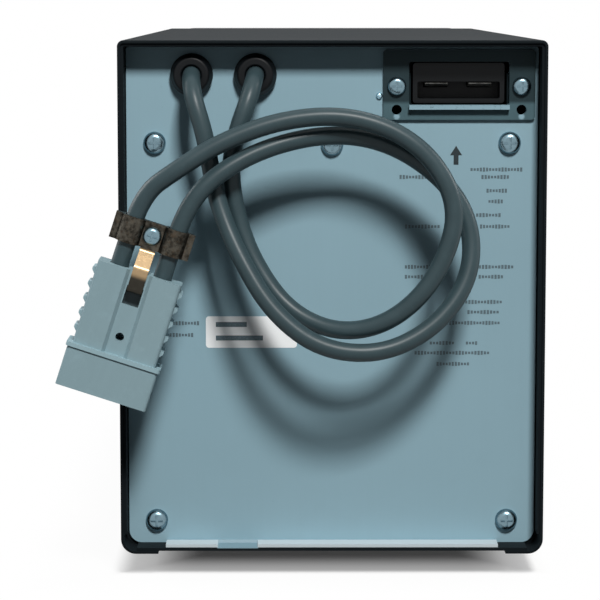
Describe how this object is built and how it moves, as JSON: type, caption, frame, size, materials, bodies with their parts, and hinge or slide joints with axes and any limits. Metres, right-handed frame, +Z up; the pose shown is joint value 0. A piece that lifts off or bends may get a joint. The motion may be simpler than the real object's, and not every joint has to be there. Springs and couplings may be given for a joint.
{
  "type": "ups battery pack",
  "caption": "Tower battery pack: folded steel casing over sealed batteries, with a recessed rear panel, a panel socket and looped leads ending in a two-pole plug.",
  "frame": {"origin": "on the floor under the middle of the casing", "axes": "+Z up, +Y from the rear panel with the leads to the front bezel, +X to the right of someone facing the rear panel"},
  "size_m": [0.1929, 0.4721, 0.216],
  "materials": {
    "cover_paint": "satin black powder coat",
    "chassis_paint": "satin black powder coat",
    "panel_steel": "matt zinc-coated sheet, blue-grey",
    "inner_steel": "zinc-coated sheet",
    "bracket_paint": "satin dark grey",
    "screw_zinc": "bright zinc",
    "clamp_steel": "yellow zinc",
    "bezel_plastic": "fine-textured black",
    "foot_rubber": "matt black",
    "pad_foam": "closed-cell foam",
    "battery_plastic": "moulded dark grey",
    "battery_lead_metal": "dull lead alloy",
    "link_brass": "bare brass",
    "fuse_ceramic": "glazed off-white",
    "inner_plastic": "moulded black",
    "socket_plastic": "moulded black",
    "contact_silver": "silver-plated copper",
    "plug_plastic": "moulded light grey",
    "bushing_plastic": "moulded black",
    "lead_jacket": "semi-gloss black jacket"
  },
  "bodies": {
    "root": {"base_pad": "pad_foam", "battery_door": "inner_steel", "battery_door_screws": "screw_zinc", "battery_front_left": "battery_plastic", "battery_front_right": "battery_plastic", "battery_lead_left": "lead_jacket", "battery_lead_right": "lead_jacket", "battery_rear_left": "battery_plastic", "battery_rear_right": "battery_plastic", "battery_stop": "inner_steel", "battery_tabs_left": "battery_lead_metal", "battery_tabs_right": "battery_lead_metal", "bracket_pin": "screw_zinc", "bushing_left": "bushing_plastic", "bushing_nuts": "bushing_plastic", "bushing_right": "bushing_plastic", "chassis": "chassis_paint", "clamp_front": "clamp_steel", "clamp_nut": "screw_zinc", "clamp_rear": "clamp_steel", "clamp_screw": "screw_zinc", "cover": "cover_paint", "cover_screws": "screw_zinc", "foot_front_left": "foot_rubber", "foot_front_right": "foot_rubber", "foot_rear_left": "foot_rubber", "foot_rear_right": "foot_rubber", "front_bezel": "bezel_plastic", "front_pad": "pad_foam", "fuse_blade": "link_brass", "fuse_body": "fuse_ceramic", "hold_down_front": "inner_steel", "hold_down_rear": "inner_steel", "junction_block": "inner_plastic", "junction_shelf": "inner_steel", "junction_terminals": "link_brass", "lead_left": "lead_jacket", "lead_right": "lead_jacket", "lead_tail_left": "lead_jacket", "lead_tail_right": "lead_jacket", "link_bolts": "screw_zinc", "module_divider": "inner_plastic", "plug_contact_left": "contact_silver", "plug_contact_right": "contact_silver", "plug_housing": "plug_plastic", "rear_panel": "panel_steel", "rear_panel_screws": "screw_zinc", "series_link_left": "link_brass", "series_link_right": "link_brass", "side_pads": "pad_foam", "socket_bracket": "bracket_paint", "socket_bracket_screws": "screw_zinc", "socket_contact_left": "contact_silver", "socket_contact_right": "contact_silver", "socket_cradle": "bracket_paint", "socket_housing": "socket_plastic", "socket_lead_left": "lead_jacket", "socket_lead_right": "lead_jacket", "socket_lock_screw": "screw_zinc", "top_flange_screws": "screw_zinc"}
  },
  "joints": []
}
